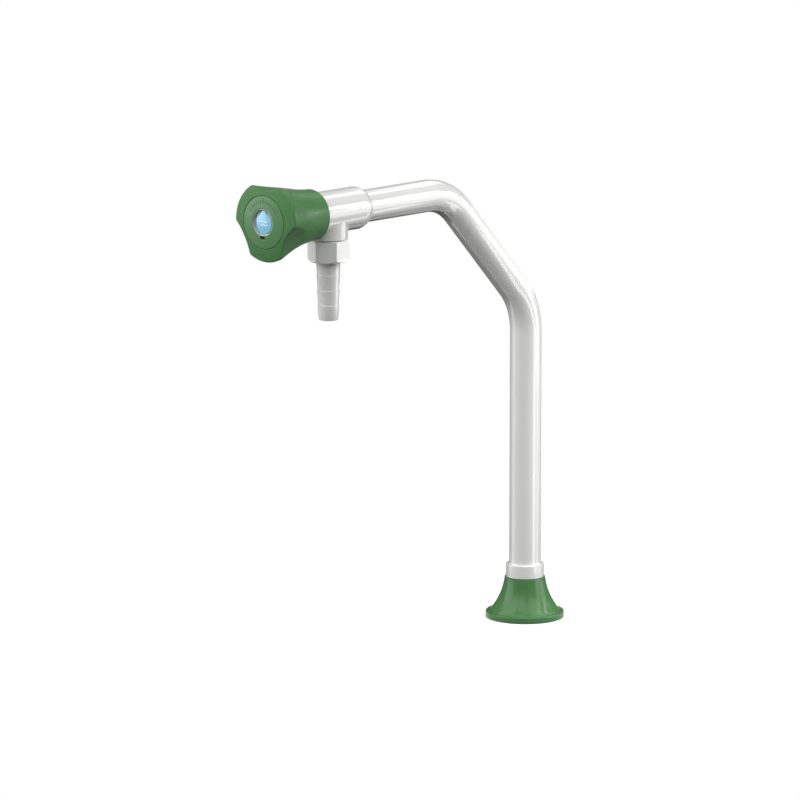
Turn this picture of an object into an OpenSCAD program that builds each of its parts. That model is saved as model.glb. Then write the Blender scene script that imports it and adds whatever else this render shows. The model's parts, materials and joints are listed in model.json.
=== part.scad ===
// Laboratory gooseneck tap: a bent column on a bench foot, with a valve at the end of its arm.
// The valve is opened by a three-lobed handwheel and lets water out through a hose nozzle.
// Millimetres. The origin is on the bench under the column, +Z is up and the arm runs along -Y.

/* [Neck] */
// outside diameter of the column and arm
tube_diameter = 20; // [18:0.5:20.5]
// wall of the column and arm
tube_wall = 1.5; // [1:0.1:2.5]
// height of the lower corner, where the column's axis meets the slant's
corner_height = 202; // [150:1:260]
// distance that the slant runs forwards, and also rises
slant_run = 79; // [60:1:100]
// radius of both bends, at the axis of the tube
bend_radius = 45; // [34:1:55]
// distance from the column's axis to the outlet's axis
outlet_reach = 186.2; // [175:1:230]

/* [Foot] */
// radius of the foot cover's rim
bell_radius = 25; // [24:0.5:30]
// height of the rim
rim_height = 4; // [3:0.1:5]
// height of the foot cover
bell_height = 26; // [24.5:0.1:28]
// radius of the hollow flank of the foot cover
flank_radius = 40.7; // [39:0.1:44]
// wall of the foot cover
bell_wall = 2; // [1.5:0.1:2.2]
// radius of the collar above the foot cover
collar_radius = 12; // [11.8:0.1:12.7]
// height of the collar's top
collar_top = 34.6; // [33:0.1:40]
// radius of the thread's inner wall in the bench socket (G 3/8)
socket_radius = 7.475; // [5.5:0.005:8]
// depth of the bench socket
socket_depth = 13; // [8:0.5:14]

/* [Valve body] */
// radius of the barrel
barrel_radius = 13.1; // [12.9:0.05:13.2]
// distance from the outlet's axis to the front of the barrel
barrel_front = 18.5; // [17.5:0.1:18.8]
// radius of the dome at the back of the barrel
dome_radius = 13.3; // [13.25:0.05:14]
// radius of the outlet boss
boss_radius = 12; // [11:0.1:12.5]
// distance from the arm's axis down to the end of the boss
boss_drop = 16.4; // [15.5:0.1:18]
// radius of the outlet's male thread (G 3/8)
outlet_thread_radius = 8.25; // [8:0.01:8.33]
// radius of the water way in the boss
outlet_bore = 5; // [3.5:0.1:5.5]

/* [Union and nozzle] */
// width across the flats of the union nut
nut_flats = 22; // [21:0.5:24]
// height of the union nut
nut_height = 13.6; // [12.9:0.1:15]
// turn of the nut as it was tightened
nut_turn = 5.7; // [0:0.1:59]
// largest radius of the nozzle, where it leaves the nut
nozzle_radius = 7.45; // [7.2:0.05:7.5]
// length from the nut to the end of the first barb
first_barb = 8; // [6:0.5:12]
// length of each later barb of the nozzle
barb_length = 9.25; // [8:0.05:11]
// amount by which one barb tapers
barb_taper = 0.7; // [0.4:0.05:0.8]
// step from the end of one barb to the start of the next
barb_step = 0.4; // [0.2:0.05:0.5]
// radius of the nozzle's water way
nozzle_bore = 4.4; // [3:0.1:4.6]

/* [Headwork] */
// radius of the chamber in the barrel that the headwork is screwed into
chamber_radius = 9; // [8.8:0.05:9.2]
// radius of the spindle
spindle_radius = 4.95; // [4.95:0.01:5.2]
// side of the square on the spindle
square_side = 6.9; // [6:0.1:7]
// radius of the headwork's neck, around the spindle
neck_radius = 8.8; // [8.6:0.1:9.5]
// width across the flats of the headwork's hexagon
bonnet_flats = 20; // [19:0.5:21]
// arc of the stop on the headwork's neck
stop_arc = 120; // [100:1:124]
// arc of the ear on the stop ring
ear_arc = 54; // [30:1:54]

/* [Handwheel] */
// radius over the lobes
lobe_radius = 24.45; // [23.5:0.05:27]
// radius of the handwheel's back edge
back_radius = 15.6; // [15.2:0.1:17]
// distance from the outlet's axis to the back edge
back_offset = 15.4; // [14.9:0.1:16.4]
// length from the back edge to the lobes' front edge
lobe_length = 39.1; // [38.6:0.1:39.6]
// radius of the hollow flare from the back edge to the lobes
flare_radius = 111; // [90:1:160]
// radius of the domed front
front_dome = 95; // [85:1:140]
// distance from the outlet's axis to the top of the domed front
front_offset = 59; // [58.8:0.1:59.6]
// radius of the three finger hollows
finger_radius = 29.1; // [24:0.1:34]
// distance from the axis to the bottom of a finger hollow
finger_depth = 18.9; // [18.4:0.1:20]
// radius of the index disc
disc_radius = 16.15; // [15:0.05:16.4]
// radius of the round window in the index disc
window_radius = 8.25; // [7.6:0.05:9]
// radius of the round end of the drop
drop_radius = 6.2; // [5:0.1:6.3]

/* [Fits] */
// radial clearance of a shaft that turns in its bore
running_fit = 0.05; // [0.02:0.01:0.08]
// clearance between pieces that are fixed together
seat_fit = 0.05; // [0.02:0.01:0.08]

/* [Hidden] */
$fn = 96;

overcut = 1;
join = 0.5;
press_gap = 0.02;
seal_room = 0.2;

tube_radius = tube_diameter / 2;
tube_gap = 0.2;
slant_angle = 45;
arm_height = corner_height + slant_run;
bend_reach = bend_radius * tan(slant_angle / 2);
slant_length = slant_run * sqrt(2) - 2 * bend_reach;
bend_thinning = 0.02;
bend_overlap = 0.6;

shank_step = 0.9;
shank_radius = collar_radius - shank_step;
flank_out = 28.3;
flank_up = 26.7;
flank_r = bell_radius + flank_out;
flank_z = rim_height + flank_up;
gasket_height = 1.9;
gasket_room = 0.4;
plate_height = 3;
plate_width = 7.3;
tube_seat = 18;
socket_step = 1.5;
collar_gap = 0.1;
collar_base = bell_height + collar_gap;
collar_chamfer = 1.4;
collar_lip = 0.6;

tube_socket = -16;
seat_face = -8;
dome_centre = -21.1;
dome_lip_width = 0.5;
dome_lip = tube_radius + dome_lip_width;
barrel_back = dome_centre - sqrt(dome_radius * dome_radius - dome_lip * dome_lip);
seat_bore = 5;

seal_height = 1.8;
fixed_front = -3.4;
moving_back = fixed_front + running_fit;
moving_front = -0.4;
sleeve_room = 0.4;
sleeve_radius = chamber_radius - sleeve_room;
sleeve_bore = 7.15;
sleeve_front = 6;
sleeve_window = 9;
window_back = -3;
window_front = 4.4;
moving_room = 0.35;
moving_radius = sleeve_bore - moving_room;
bonnet_step = 5;
bonnet_gasket_height = 0.6;
flange_back = barrel_front + bonnet_gasket_height;
flange_edge = 0.05;
flange_radius = bonnet_flats / 2 / cos(30) + flange_edge;
flange_inset = 0.6;
bonnet_flange = 1.5;
hexagon_height = 4.4;
hexagon_back = flange_back + bonnet_flange;
bonnet_front = 30;
stop_height = 4;
stop_inner = 7.2;
stop_room = 0.5;
stop_start = 90;
stop_gap = 3;
stop_ring_height = 2.2;
bar_width = 4;
bar_length = 12.4;
slot_depth = 1.4;
bar_depth = slot_depth - 2 * seat_fit;
port_radius = 5.4;
port_land = 0.3;
port_offset = bar_width / 2 + port_land;
collar_back = 2;
collar_front = bonnet_step - moving_room;
ring_width = 2.2;
ring_offsets = [15, 20];
oring_radius = 0.75;
oring_centre = spindle_radius - oring_radius - press_gap;
ring_groove = oring_centre - oring_radius - press_gap;
clip_gap = 0.45;
clip_back = bonnet_front + clip_gap;
clip_height = 0.9;
clip_arc = 300;
clip_groove = spindle_radius - 0.75;
square_gap = 1.8;
square_back = bonnet_front + square_gap;
square_front = 45.8;
tap_depth = 11;

cavity_room = 0.5;
cavity_radius = barrel_radius + cavity_room;
cavity_front = 35;
insert_front = 46;
insert_radius = 6.6;
recess_radius = 11;
disc_back = 53.4;
disc_room = 0.1;
skirt_wall = 1.4;
skirt_depth = 3.2;
notch_width = 3.6;
notch_reach = 1.9;
notch_height = 2.4;
notch_depth = 2.6;
screw_radius = 2;
screw_length = 10;
screw_head = 2.4;
screw_slot = 1;
washer_height = 0.8;
washer_room = 0.15;
washer_inset = 0.4;
through = 60;
lobe_front = back_offset + lobe_length;
flare_rise = lobe_radius - back_radius;
flare_chord = sqrt(flare_rise * flare_rise + lobe_length * lobe_length);
flare_sine = lobe_length / flare_chord;
flare_cosine = flare_rise / flare_chord;
flare_height = sqrt(flare_radius * flare_radius - flare_chord * flare_chord / 4);
flare_r = back_radius + flare_rise / 2 + flare_height * flare_sine;
flare_w = back_offset + lobe_length / 2 - flare_height * flare_cosine;
lobe_chamfer = 1.2;
edge_start = 0.2;
edge_rise = 1.5;
edge_run = 2;
holder_back = 54.8;
holder_wall = 0.5;
tag_back = 56.8;
tag_height = 0.6;
drop_sink = 0.6;
holder_lip = 58.4;

nut_gap = 0.2;
nut_top = boss_drop + nut_gap;
nut_bottom = nut_top + nut_height;
nut_lip = 1.5;
nut_top_round = 1.2;
nut_bottom_round = 1.8;
nut_corner = 2;
nut_top_inset = 0.1;
nut_bottom_inset = 0.3;
nut_room = 0.15;
flange_height = 2.15;
nozzle_flange_radius = outlet_thread_radius - nut_room;
nozzle_flange = nut_bottom - nut_lip - seat_fit - flange_height;
nozzle_gasket_height = 2;
outlet_end = nozzle_flange - nozzle_gasket_height;
barb_count = 4;
barb_flare = 0.15;
barb_start = nut_bottom + first_barb;
nozzle_edge = 0.4;
nozzle_end = barb_start + (barb_count - 1) * barb_length;

// frame of the arm: outwards along the arm from the outlet's axis is local +Z, and up is local +Y
module along_arm() {
    translate([0, -outlet_reach, arm_height]) rotate([90, 0, 0]) children();
}

// frame of the outlet: down from the arm's axis is local +Z
module below_arm() {
    translate([0, -outlet_reach, arm_height]) rotate([180, 0, 0]) children();
}

// a ring with square edges
module ring(inner, outer, height) {
    difference() {
        cylinder(r = outer, h = height);
        translate([0, 0, -overcut]) cylinder(r = inner, h = height + 2 * overcut);
    }
}

// Foot cover: a thin flared moulding whose rim stands on the bench.
// The collar above holds it down, and its top hole fits around the shank.
module base_bell() {
    color([0.20, 0.40, 0.20])
    rotate_extrude() difference() {
        translate([shank_radius + seat_fit, 0]) {
            square([bell_radius - shank_radius - seat_fit, bell_height]);
        }
        intersection() {
            translate([flank_r, flank_z]) circle(r = flank_radius);
            translate([0, rim_height]) square([bell_radius + overcut, bell_height]);
        }
        difference() {
            translate([0, -overcut]) square([bell_radius - bell_wall, bell_height - bell_wall + overcut]);
            translate([flank_r, flank_z]) circle(r = flank_radius + bell_wall);
        }
        translate([0, -overcut]) square([bell_radius - bell_wall, gasket_height + overcut]);
    }
}

// Sealing ring under the foot, flush with the rim.
module base_gasket() {
    color([0.10, 0.10, 0.10])
    ring(shank_radius + gasket_room, bell_radius - bell_wall - gasket_room, gasket_height);
}

// Steel plate pressed on the shank, which stands on the sealing ring.
module foot_plate() {
    color([0.60, 0.61, 0.62])
    translate([0, 0, gasket_height]) {
        ring(shank_radius + press_gap, shank_radius + plate_width, plate_height);
    }
}

// Foot body: a turned collar and shank.
// The column is brazed into its top, and the bench fitting screws into its bottom.
module foot_body() {
    color([0.90, 0.90, 0.88])
    rotate_extrude() polygon([
        [socket_radius, 0],
        [shank_radius, 0],
        [shank_radius, collar_base],
        [collar_radius, collar_base],
        [collar_radius, collar_top - collar_chamfer],
        [tube_radius + collar_lip, collar_top],
        [tube_radius + seat_fit, collar_top],
        [tube_radius + seat_fit, tube_seat],
        [socket_radius - socket_step, tube_seat],
        [socket_radius - socket_step, socket_depth],
        [socket_radius, socket_depth]
    ]);
}

// one straight length of tube, which reaches a little into the bend before it and the bend after it
module straight_tube(length, before, after) {
    translate([0, 0, -before]) ring(tube_radius - tube_wall, tube_radius, length + before + after);
}

// one bend of the tube, about the local Z axis, with its wall drawn a little thinner by the bending
module bent_tube(start_angle) {
    rotate([0, 0, start_angle]) rotate_extrude(angle = slant_angle) {
        translate([bend_radius, 0]) difference() {
            circle(r = tube_radius - bend_thinning);
            circle(r = tube_radius - tube_wall + bend_thinning);
        }
    }
}

// Neck: one brass tube with two bends, open at both ends.
module neck_tube() {
    color([0.92, 0.92, 0.90]) {
        translate([0, 0, tube_seat + tube_gap]) {
            straight_tube(corner_height - bend_reach - tube_seat - tube_gap, 0, bend_overlap);
        }
        translate([0, -bend_radius, corner_height - bend_reach]) rotate([90, 0, 90]) bent_tube(0);
        translate([0, -bend_reach * sin(slant_angle), corner_height + bend_reach * cos(slant_angle)]) {
            rotate([slant_angle, 0, 0]) straight_tube(slant_length, bend_overlap, bend_overlap);
        }
        translate([0, -slant_run - bend_reach, arm_height - bend_radius]) rotate([90, 0, 90]) {
            bent_tube(90 - slant_angle);
        }
        translate([0, -slant_run - bend_reach, arm_height]) rotate([90, 0, 0]) {
            straight_tube(outlet_reach + tube_socket - tube_gap - slant_run - bend_reach, bend_overlap, 0);
        }
    }
}

// Valve body: a turned barrel with a domed back, and a boss under it that ends in a male thread.
// The arm is brazed into its back and the headwork screws into its front.
module valve_body() {
    color([0.92, 0.92, 0.90])
    difference() {
        union() {
            along_arm() rotate_extrude() intersection() {
                translate([0, barrel_back]) square([barrel_radius, barrel_front - barrel_back]);
                union() {
                    translate([0, dome_centre]) circle(r = dome_radius);
                    translate([0, dome_centre]) {
                        square([barrel_radius + overcut, barrel_front - dome_centre + overcut]);
                    }
                }
            }
            below_arm() cylinder(r = boss_radius, h = boss_drop);
            below_arm() cylinder(r = outlet_thread_radius, h = outlet_end);
        }
        along_arm() translate([0, 0, seat_face]) {
            cylinder(r = chamber_radius, h = barrel_front - seat_face + overcut);
        }
        along_arm() translate([0, 0, tube_socket - overcut]) {
            cylinder(r = seat_bore, h = seat_face - tube_socket + 2 * overcut);
        }
        along_arm() translate([0, 0, barrel_back - overcut]) {
            cylinder(r = tube_radius + seat_fit, h = tube_socket - barrel_back + overcut);
        }
        below_arm() cylinder(r = outlet_bore, h = outlet_end + overcut);
    }
}

// Headwork body: a sleeve for the discs, a screwed length, a hexagon and a neck around the spindle.
// Two windows in the sleeve let the water out, and a part of the neck stands up as the stop.
module bonnet() {
    color([0.78, 0.62, 0.30])
    along_arm() difference() {
        union() {
            rotate_extrude() polygon([
                [sleeve_bore, seat_face + seal_height],
                [sleeve_radius, seat_face + seal_height],
                [sleeve_radius, sleeve_front],
                [chamber_radius - seat_fit, sleeve_front],
                [chamber_radius - seat_fit, flange_back],
                [flange_radius, flange_back],
                [flange_radius, hexagon_back],
                [neck_radius, hexagon_back],
                [neck_radius, bonnet_front],
                [spindle_radius + running_fit, bonnet_front],
                [spindle_radius + running_fit, bonnet_step],
                [sleeve_bore, bonnet_step]
            ]);
            translate([0, 0, hexagon_back - join]) difference() {
                cylinder(d = bonnet_flats / cos(30), h = hexagon_height + join, $fn = 6);
                translate([0, 0, -overcut]) {
                    cylinder(r = neck_radius - 2 * join, h = hexagon_height + join + 2 * overcut);
                }
            }
            translate([0, 0, bonnet_front - join]) rotate([0, 0, stop_start]) {
                rotate_extrude(angle = stop_arc) translate([stop_inner, 0]) {
                    square([neck_radius - stop_inner, stop_height + join]);
                }
            }
        }
        translate([-sleeve_window / 2, -chamber_radius - overcut, window_back]) {
            cube([sleeve_window, 2 * (chamber_radius + overcut), window_front - window_back]);
        }
    }
}

// Ring clamped between the barrel's front and the headwork's flange.
module bonnet_gasket() {
    color([0.12, 0.12, 0.12])
    along_arm() translate([0, 0, barrel_front]) {
        ring(chamber_radius + seal_room, flange_radius - flange_inset, bonnet_gasket_height);
    }
}

// Ring between the seat in the barrel and the fixed disc.
module seat_seal() {
    color([0.12, 0.12, 0.12])
    along_arm() translate([0, 0, seat_face]) {
        ring(seat_bore + seal_room, sleeve_radius - seal_room, seal_height);
    }
}

// the port through a ceramic disc: a flat-sided opening on one side of the driving bar
module disc_port() {
    linear_extrude(height = through) intersection() {
        circle(r = port_radius);
        translate([port_offset, -port_radius]) square(2 * port_radius);
    }
}

// Fixed ceramic disc, with its port on one side.
module fixed_disc() {
    color([0.88, 0.86, 0.82])
    along_arm() translate([0, 0, seat_face + seal_height]) difference() {
        cylinder(r = sleeve_bore - seat_fit, h = fixed_front - seat_face - seal_height);
        translate([0, 0, -overcut]) disc_port();
    }
}

// Moving ceramic disc: its port is on the other side at rest, and comes over the fixed one in half a turn.
// A slot across its front takes the spindle's bar.
module moving_disc() {
    color([0.93, 0.91, 0.87])
    along_arm() difference() {
        translate([0, 0, moving_back]) cylinder(r = moving_radius, h = moving_front - moving_back);
        translate([0, 0, moving_back - overcut]) rotate([0, 0, 180]) disc_port();
        translate([-bar_width / 2 - seat_fit, -moving_radius - overcut, moving_front - slot_depth]) {
            cube([bar_width + 2 * seat_fit, 2 * (moving_radius + overcut), slot_depth + overcut]);
        }
    }
}

// Spindle: a driving bar, a thrust collar, a shaft with ring grooves, and a square with a tapped end.
module spindle() {
    color([0.75, 0.60, 0.32])
    along_arm() difference() {
        union() {
            translate([-bar_width / 2, -bar_length / 2, moving_front - bar_depth]) {
                cube([bar_width, bar_length, collar_back + join - moving_front + bar_depth]);
            }
            translate([0, 0, collar_back]) {
                cylinder(r = moving_radius - moving_room, h = collar_front - collar_back);
                cylinder(r = spindle_radius, h = square_back - collar_back);
            }
            translate([-square_side / 2, -square_side / 2, square_back - join]) {
                cube([square_side, square_side, square_front - square_back + join]);
            }
        }
        for (offset = ring_offsets) translate([0, 0, offset]) {
            ring(ring_groove, spindle_radius + overcut, ring_width);
        }
        translate([0, 0, clip_back - seat_fit]) {
            ring(clip_groove, spindle_radius + overcut, clip_height + 2 * seat_fit);
        }
        translate([0, 0, square_front - tap_depth]) {
            cylinder(r = screw_radius + press_gap, h = tap_depth + overcut);
        }
    }
}

// Two rubber rings in the spindle's grooves.
module spindle_orings() {
    color([0.10, 0.10, 0.10])
    along_arm() for (offset = ring_offsets) translate([0, 0, offset + ring_width / 2]) {
        rotate_extrude() translate([oring_centre, 0]) circle(r = oring_radius);
    }
}

// Spring clip in the spindle's last groove.
module spindle_clip() {
    color([0.55, 0.56, 0.58])
    along_arm() translate([0, 0, clip_back]) rotate([0, 0, clip_arc]) rotate_extrude(angle = clip_arc) {
        translate([clip_groove + seat_fit, 0]) {
            square([stop_inner - stop_room - clip_groove - seat_fit, clip_height]);
        }
    }
}

// Stop ring on the square: its ear meets the two ends of the stop on the neck.
module stop_ring() {
    ear_start = stop_start + stop_arc + stop_gap;
    ear_middle = ear_start + ear_arc / 2;
    ear_end = ear_start + ear_arc;
    reach = 2 * neck_radius;
    color([0.75, 0.60, 0.32])
    along_arm() translate([0, 0, square_back + stop_room]) {
        linear_extrude(height = stop_ring_height) difference() {
            union() {
                circle(r = stop_inner - stop_room);
                intersection() {
                    circle(r = neck_radius);
                    polygon([
                        [0, 0],
                        [reach * cos(ear_start), reach * sin(ear_start)],
                        [reach * cos(ear_middle), reach * sin(ear_middle)],
                        [reach * cos(ear_end), reach * sin(ear_end)]
                    ]);
                }
            }
            square(square_side + 2 * seat_fit, center = true);
        }
    }
}

// the outside of the handwheel as a half section: a flare behind and a dome in front
module handwheel_section() {
    difference() {
        intersection() {
            translate([0, back_offset]) square([lobe_radius, front_offset - back_offset + overcut]);
            translate([0, front_offset - front_dome]) circle(r = front_dome);
        }
        intersection() {
            translate([flare_r, flare_w]) circle(r = flare_radius);
            translate([0, back_offset - overcut]) square([lobe_radius + overcut, lobe_length + overcut]);
        }
        polygon([
            [lobe_radius, lobe_front + edge_start],
            [lobe_radius + overcut, lobe_front + edge_start],
            [lobe_radius + overcut, front_offset],
            [lobe_radius - lobe_chamfer - edge_run, front_offset],
            [lobe_radius - lobe_chamfer, lobe_front + edge_rise]
        ]);
    }
}

// Handwheel: a moulding with three lobes and three finger hollows.
// It covers the headwork, and its web holds the insert.
module handwheel() {
    color([0.22, 0.43, 0.22])
    along_arm() difference() {
        rotate_extrude() handwheel_section();
        for (turn = [90, 210, 330]) rotate([0, 0, turn]) {
            translate([finger_depth + finger_radius, 0, back_offset - overcut]) {
                cylinder(r = finger_radius, h = through);
            }
        }
        translate([0, 0, back_offset - overcut]) {
            cylinder(r = cavity_radius, h = cavity_front - back_offset + overcut);
        }
        translate([0, 0, cavity_front - overcut]) cylinder(r = insert_radius + press_gap, h = through);
        translate([0, 0, insert_front]) cylinder(r = recess_radius, h = through);
        translate([0, 0, disc_back]) cylinder(r = disc_radius + disc_room, h = through);
    }
}

// Brass insert with a square hole, moulded into the handwheel's web.
module drive_insert() {
    color([0.78, 0.62, 0.30])
    along_arm() translate([0, 0, cavity_front]) difference() {
        cylinder(r = insert_radius, h = insert_front - cavity_front);
        translate([-square_side / 2 - seat_fit, -square_side / 2 - seat_fit, -overcut]) {
            cube([square_side + 2 * seat_fit, square_side + 2 * seat_fit, through]);
        }
    }
}

// Washer between the screw's head and the insert.
module screw_washer() {
    color([0.62, 0.63, 0.65])
    along_arm() translate([0, 0, insert_front]) {
        ring(screw_radius + washer_room, insert_radius - washer_inset, washer_height);
    }
}

// Screw that holds the handwheel on the spindle, with a slotted head.
module handwheel_screw() {
    color([0.66, 0.67, 0.69])
    along_arm() difference() {
        union() {
            translate([0, 0, insert_front + washer_height]) cylinder(r = 2 * screw_radius, h = screw_head);
            translate([0, 0, insert_front - screw_length]) {
                cylinder(r = screw_radius, h = screw_length + washer_height + join);
            }
        }
        translate([-3 * screw_radius, -screw_slot / 2, insert_front + washer_height + screw_head / 2]) {
            cube([6 * screw_radius, screw_slot, screw_head]);
        }
    }
}

// Index disc: a cap pressed into the handwheel's face, with a round window and a pry notch below it.
module index_disc() {
    color([0.25, 0.47, 0.25])
    along_arm() difference() {
        rotate_extrude() union() {
            intersection() {
                translate([0, disc_back]) square([disc_radius, front_offset - disc_back + overcut]);
                translate([0, front_offset - front_dome]) circle(r = front_dome);
            }
            translate([recess_radius - disc_room - skirt_wall, disc_back - skirt_depth]) {
                square([skirt_wall, skirt_depth + join]);
            }
        }
        translate([0, 0, holder_back]) cylinder(r = window_radius, h = through);
        translate([-notch_width / 2, -window_radius - notch_reach, front_offset - notch_depth]) {
            cube([notch_width, notch_height, notch_depth + overcut]);
        }
    }
}

// Round grey holder in the window, with a raised lip.
module drop_holder() {
    color([0.50, 0.54, 0.51])
    along_arm() translate([0, 0, holder_back]) difference() {
        cylinder(r = window_radius - seat_fit, h = holder_lip - holder_back);
        translate([0, 0, tag_back - holder_back]) {
            cylinder(r = window_radius - seat_fit - holder_wall, h = through);
        }
    }
}

// Blue drop on the holder's floor.
module drop_tag() {
    color([0.45, 0.72, 0.86])
    along_arm() translate([0, -drop_sink, tag_back]) linear_extrude(height = tag_height) union() {
        circle(r = drop_radius);
        translate([0, drop_radius * 1.032]) circle(r = drop_radius * 0.274);
        polygon([
            [-drop_radius * 0.50, drop_radius * 0.85],
            [drop_radius * 0.50, drop_radius * 0.85],
            [drop_radius * 0.24, drop_radius * 1.14],
            [-drop_radius * 0.24, drop_radius * 1.14]
        ]);
    }
}

// Union nut: a hexagon with turned corners, which pulls the nozzle up against the boss.
module union_nut() {
    color([0.86, 0.86, 0.84])
    below_arm() difference() {
        intersection() {
            translate([0, 0, nut_top]) rotate([0, 0, 90 - nut_turn]) {
                cylinder(d = nut_flats / cos(30), h = nut_height, $fn = 6);
            }
            rotate_extrude() polygon([
                [0, nut_top],
                [nut_flats / 2 - nut_top_inset, nut_top],
                [nut_flats / 2 + nut_corner, nut_top + nut_top_round],
                [nut_flats / 2 + nut_corner, nut_bottom - nut_bottom_round],
                [nut_flats / 2 - nut_bottom_inset, nut_bottom],
                [0, nut_bottom]
            ]);
        }
        translate([0, 0, nut_top - overcut]) {
            cylinder(r = outlet_thread_radius + seat_fit, h = nut_height - nut_lip + overcut);
        }
        translate([0, 0, nut_top]) cylinder(r = nozzle_radius + nut_room, h = nut_height + overcut);
    }
}

// Ring between the outlet's end and the nozzle's flange.
module nozzle_gasket() {
    color([0.12, 0.12, 0.12])
    below_arm() translate([0, 0, outlet_end]) {
        ring(outlet_bore + seal_room, nozzle_flange_radius, nozzle_gasket_height);
    }
}

// the radius at the start of a barb: each barb starts one step out from where the one above it ended
function barb_radius(barb) = nozzle_radius - barb * (barb_taper - barb_step);

// Hose nozzle: a flange held by the nut, and a tail of barbs that taper downwards.
module hose_nozzle() {
    end_radius = barb_radius(barb_count - 1) - barb_taper;
    color([0.86, 0.86, 0.84])
    below_arm() rotate_extrude() polygon(concat(
        [
            [nozzle_bore, nozzle_flange],
            [nozzle_flange_radius, nozzle_flange],
            [nozzle_flange_radius, nozzle_flange + flange_height],
            [nozzle_radius, nozzle_flange + flange_height],
            [nozzle_radius - barb_taper + barb_flare, barb_start]
        ],
        [for (barb = [1 : barb_count - 1]) each [
            [barb_radius(barb), barb_start + (barb - 1) * barb_length],
            [barb_radius(barb) - barb_taper, min(barb_start + barb * barb_length, nozzle_end - nozzle_edge)]
        ]],
        [
            [end_radius - nozzle_edge, nozzle_end],
            [nozzle_bore, nozzle_end]
        ]
    ));
}

base_bell();
base_gasket();
foot_plate();
foot_body();
neck_tube();
valve_body();
bonnet();
bonnet_gasket();
seat_seal();
fixed_disc();
moving_disc();
spindle();
spindle_orings();
spindle_clip();
stop_ring();
handwheel();
drive_insert();
screw_washer();
handwheel_screw();
index_disc();
drop_holder();
drop_tag();
union_nut();
nozzle_gasket();
hose_nozzle();
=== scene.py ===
import json
import math

import bmesh
import bpy
from mathutils import Matrix, Vector


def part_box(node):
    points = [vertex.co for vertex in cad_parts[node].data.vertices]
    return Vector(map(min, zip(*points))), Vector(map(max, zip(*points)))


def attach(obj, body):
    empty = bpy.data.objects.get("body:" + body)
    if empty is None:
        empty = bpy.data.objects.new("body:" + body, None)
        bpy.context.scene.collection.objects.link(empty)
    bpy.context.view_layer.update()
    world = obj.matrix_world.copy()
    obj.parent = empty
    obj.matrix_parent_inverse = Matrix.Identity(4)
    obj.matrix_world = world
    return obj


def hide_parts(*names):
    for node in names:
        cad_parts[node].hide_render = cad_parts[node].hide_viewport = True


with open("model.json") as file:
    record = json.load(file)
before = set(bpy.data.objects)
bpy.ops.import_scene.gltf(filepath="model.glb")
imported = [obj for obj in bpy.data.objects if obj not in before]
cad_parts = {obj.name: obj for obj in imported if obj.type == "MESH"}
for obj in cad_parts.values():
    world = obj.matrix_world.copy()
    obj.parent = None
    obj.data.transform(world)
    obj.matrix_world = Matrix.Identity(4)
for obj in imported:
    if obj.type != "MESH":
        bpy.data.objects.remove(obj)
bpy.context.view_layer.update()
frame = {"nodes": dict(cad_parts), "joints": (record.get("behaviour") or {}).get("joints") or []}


# Foot body: the collar and shank that carry the column, turned from brass and coated white.
# The column is brazed into its top, and the thread in its underside takes the bench fitting.
# Lengths of the pieces are in millimetres, and each mesh is brought to metres as it is made.
mm = 0.001
upright = Matrix.Scale(mm, 4)
tube_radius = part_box("neck_tube")[1].x / mm
collar_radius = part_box("foot_body")[1].x / mm
collar_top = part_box("foot_body")[1].z / mm
bell_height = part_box("base_bell")[1].z / mm
shank_radius = 11.1
seat_gap = 0.05
cover_gap = 0.1
collar_edge = 1.9
braze_fillet = 0.6
tube_seat = 18
water_way = 5.975
socket_depth = 13
socket_radius = 7.475
bench_thread = 0.85
bench_pitch = 1.337
weld_gap = 0.0005
drift_low = 0.3
drift_high = 0.7
gloss_patch = 6
ring_steps = 128
even_angles = [2 * math.pi * step / ring_steps for step in range(ring_steps)]


def arc(centre, radius, start, end, steps):
    """Corners along a round stretch of an outline, between two angles in degrees."""
    angles = [math.radians(start + (end - start) * step / steps) for step in range(steps + 1)]
    return [(centre[0] + radius * math.cos(a), centre[1] + radius * math.sin(a), 0) for a in angles]


def rounded(corners, steps=5):
    """A closed outline through corners of (radius, height, rounding)."""
    outline = []
    for index, (radius, height, rounding) in enumerate(corners):
        corner = Vector((radius, height))
        if not rounding:
            outline.append(corner)
            continue
        before = Vector(corners[index - 1][:2]) - corner
        after = Vector(corners[(index + 1) % len(corners)][:2]) - corner
        half = before.angle(after, math.pi) / 2
        reach = min(rounding / math.tan(half), 0.48 * before.length, 0.48 * after.length)
        first = corner + before.normalized() * reach
        last = corner + after.normalized() * reach
        for step in range(steps + 1):
            t = step / steps
            shares = (1 - t) ** 2, 2 * math.sin(half) * t * (1 - t), t * t
            outline.append((first * shares[0] + corner * shares[1] + last * shares[2]) / sum(shares))
    return outline


def thread(radius, depth, pitch, start, end, angle, rows_per_turn=8):
    """Corners down a threaded wall, in the section at an angle: a ridge that climbs one pitch in a turn."""
    rows = round(abs(end - start) / pitch * rows_per_turn)
    corners = []
    for row in range(rows + 1):
        height = start + (end - start) * row / rows
        phase = (height / pitch - angle / (2 * math.pi)) % 1
        run_out = min(1, abs(height - start) / pitch, abs(end - height) / pitch)
        corners.append((radius + depth * run_out * (1 - abs(2 * phase - 1)), height, 0))
    return corners


def spun(outline_at, angles):
    """Points and faces of a ring-shaped solid, from its section at each angle."""
    sections = [outline_at(angle) for angle in angles]
    rows = len(sections[0])
    points = [
        (radius * math.cos(angle), radius * math.sin(angle), height)
        for angle, section in zip(angles, sections)
        for radius, height in section
    ]
    faces = []
    for column in range(len(angles)):
        here = column * rows
        there = (column + 1) % len(angles) * rows
        for row in range(rows):
            above = (row + 1) % rows
            faces.append((here + row, there + row, there + above, here + above))
    return points, faces


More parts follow.
